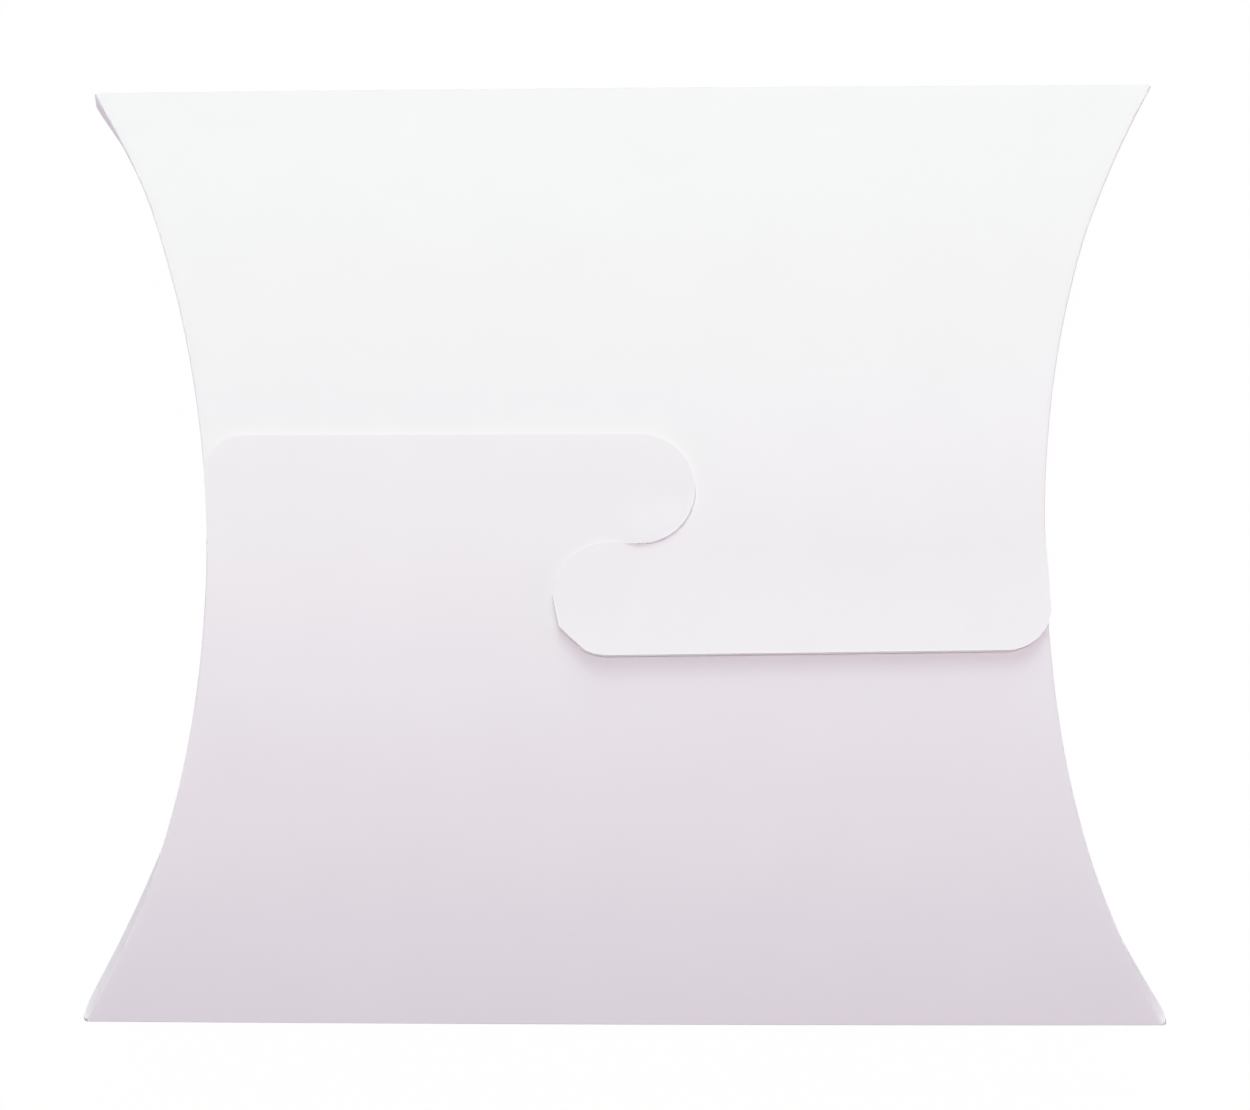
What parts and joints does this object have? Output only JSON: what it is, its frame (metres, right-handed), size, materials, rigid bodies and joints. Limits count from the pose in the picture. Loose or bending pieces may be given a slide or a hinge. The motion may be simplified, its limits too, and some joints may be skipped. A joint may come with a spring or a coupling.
{
  "type": "pillow box",
  "caption": "Glueless pillow box of plain white card, with curved end flaps and a front in two halves that an S-shaped cut of tabs and round tongues locks together.",
  "frame": {"origin": "on the table, under the middle of the box as it lies on its back", "axes": "+X along the straight creases, +Y from the lower to the upper crease, +Z out of the front face"},
  "size_m": [0.1668, 0.1468, 0.0395],
  "materials": {
    "white_card": "smooth matt coated white card"
  },
  "bodies": {
    "back": {"back_panel": "white_card"},
    "upper_front": {"upper_front_panel": "white_card", "upper_lock_tongue": "white_card"},
    "lower_front": {"lower_front_panel": "white_card", "lower_lock_tongue": "white_card"},
    "right_outer": {"right_outer_flap": "white_card"},
    "left_outer": {"left_outer_flap": "white_card"},
    "upper_left_tuck": {"upper_left_tuck_flap": "white_card"},
    "upper_right_tuck": {"upper_right_tuck_flap": "white_card"},
    "lower_left_tuck": {"lower_left_tuck_flap": "white_card"},
    "lower_right_tuck": {"lower_right_tuck_flap": "white_card"}
  },
  "joints": [
    {"name": "upper_front_crease", "type": "hinge", "parent": "back", "child": "upper_front", "pos_m": [0, 0.073, 0.0191], "axis": [-1, 0, 0], "range_deg": [0, 165], "deforming": ["upper_lock_tongue"]},
    {"name": "lower_front_crease", "type": "hinge", "parent": "back", "child": "lower_front", "pos_m": [0, -0.073, 0.0191], "axis": [1, 0, 0], "range_deg": [0, 165], "deforming": ["lower_lock_tongue"]},
    {"name": "right_outer_flap_crease", "type": "hinge", "parent": "back", "child": "right_outer", "pos_m": [0.0636, 0, 0.0001], "axis": [0, 1, 0], "range_deg": [0, 60]},
    {"name": "left_outer_flap_crease", "type": "hinge", "parent": "back", "child": "left_outer", "pos_m": [-0.0636, 0, 0.0001], "axis": [0, -1, 0], "range_deg": [0, 60]},
    {"name": "upper_left_tuck_flap_crease", "type": "hinge", "parent": "upper_front", "child": "upper_left_tuck", "pos_m": [-0.073, 0.0365, 0.0286], "axis": [-0.2443, 0.9384, -0.2443], "range_deg": [0, 54]},
    {"name": "upper_right_tuck_flap_crease", "type": "hinge", "parent": "upper_front", "child": "upper_right_tuck", "pos_m": [0.073, 0.0365, 0.0286], "axis": [-0.2443, -0.9384, 0.2443], "range_deg": [0, 54]},
    {"name": "lower_left_tuck_flap_crease", "type": "hinge", "parent": "lower_front", "child": "lower_left_tuck", "pos_m": [-0.073, -0.0365, 0.0286], "axis": [0.2443, 0.9384, 0.2443], "range_deg": [0, 54]},
    {"name": "lower_right_tuck_flap_crease", "type": "hinge", "parent": "lower_front", "child": "lower_right_tuck", "pos_m": [0.073, -0.0365, 0.0286], "axis": [0.2443, -0.9384, -0.2443], "range_deg": [0, 54]}
  ],
  "couplings": [
    {"joint": "lower_front_crease", "follows": "upper_front_crease", "ratio": 1},
    {"joint": "upper_left_tuck_flap_crease", "follows": "left_outer_flap_crease", "ratio": 0.9},
    {"joint": "upper_right_tuck_flap_crease", "follows": "right_outer_flap_crease", "ratio": 0.9},
    {"joint": "lower_left_tuck_flap_crease", "follows": "left_outer_flap_crease", "ratio": 0.9},
    {"joint": "lower_right_tuck_flap_crease", "follows": "right_outer_flap_crease", "ratio": 0.9}
  ]
}
